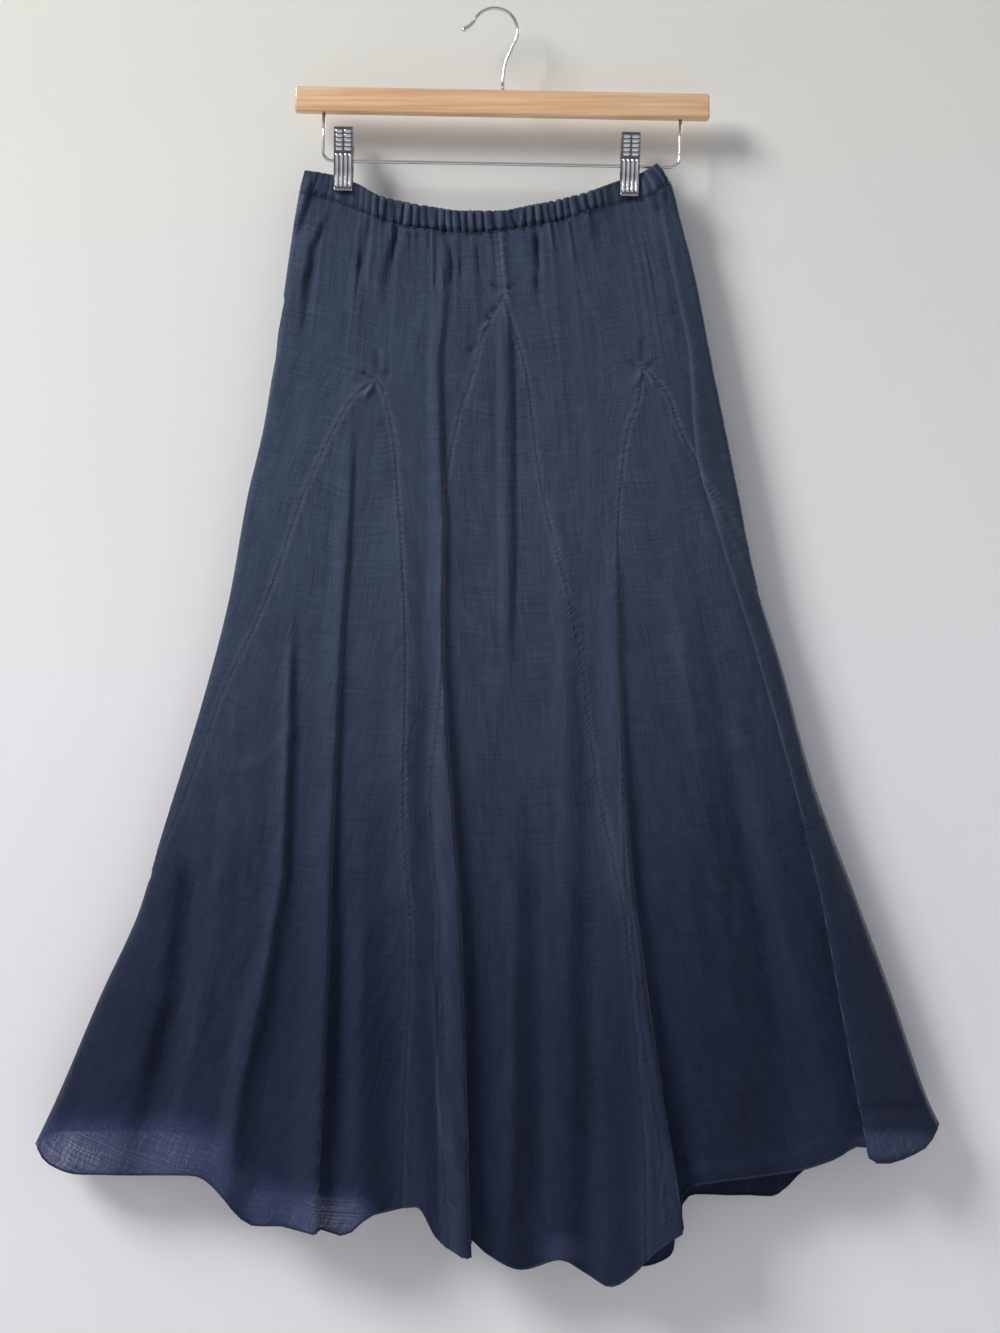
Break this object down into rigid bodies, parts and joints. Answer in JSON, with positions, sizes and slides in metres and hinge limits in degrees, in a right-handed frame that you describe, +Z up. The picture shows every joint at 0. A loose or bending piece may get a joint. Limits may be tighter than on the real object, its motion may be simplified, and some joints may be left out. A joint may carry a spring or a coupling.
{
  "type": "maxi skirt on a clip hanger",
  "caption": "Long flared linen skirt with a gathered elastic waist and godets let into its panels, held by the clips of a wooden hanger",
  "frame": {"origin": "inside top of the hook's bow, where a rod or nail carries it", "axes": "+Z up, +X to the viewer's right along the hanger bar, -Y out of the skirt's front"},
  "size_m": [0.778, 0.0741, 1.0875],
  "materials": {
    "linen": "matt washed linen",
    "wood": "glossy clear varnish",
    "steel": "bright plated steel"
  },
  "bodies": {
    "root": {"waistband": "linen", "front_left_panel": "linen", "front_right_panel": "linen", "back_left_panel": "linen", "back_right_panel": "linen", "godet_front_left": "linen", "godet_front_centre": "linen", "godet_front_right": "linen", "godet_back_left": "linen", "godet_back_centre": "linen", "godet_back_right": "linen", "hanger_bar": "wood", "hanger_hook": "steel", "hanger_rail": "steel", "clip_left_front_jaw": "steel", "clip_left_back_jaw": "steel", "clip_left_spring": "steel", "clip_right_front_jaw": "steel", "clip_right_back_jaw": "steel", "clip_right_spring": "steel"}
  },
  "joints": []
}
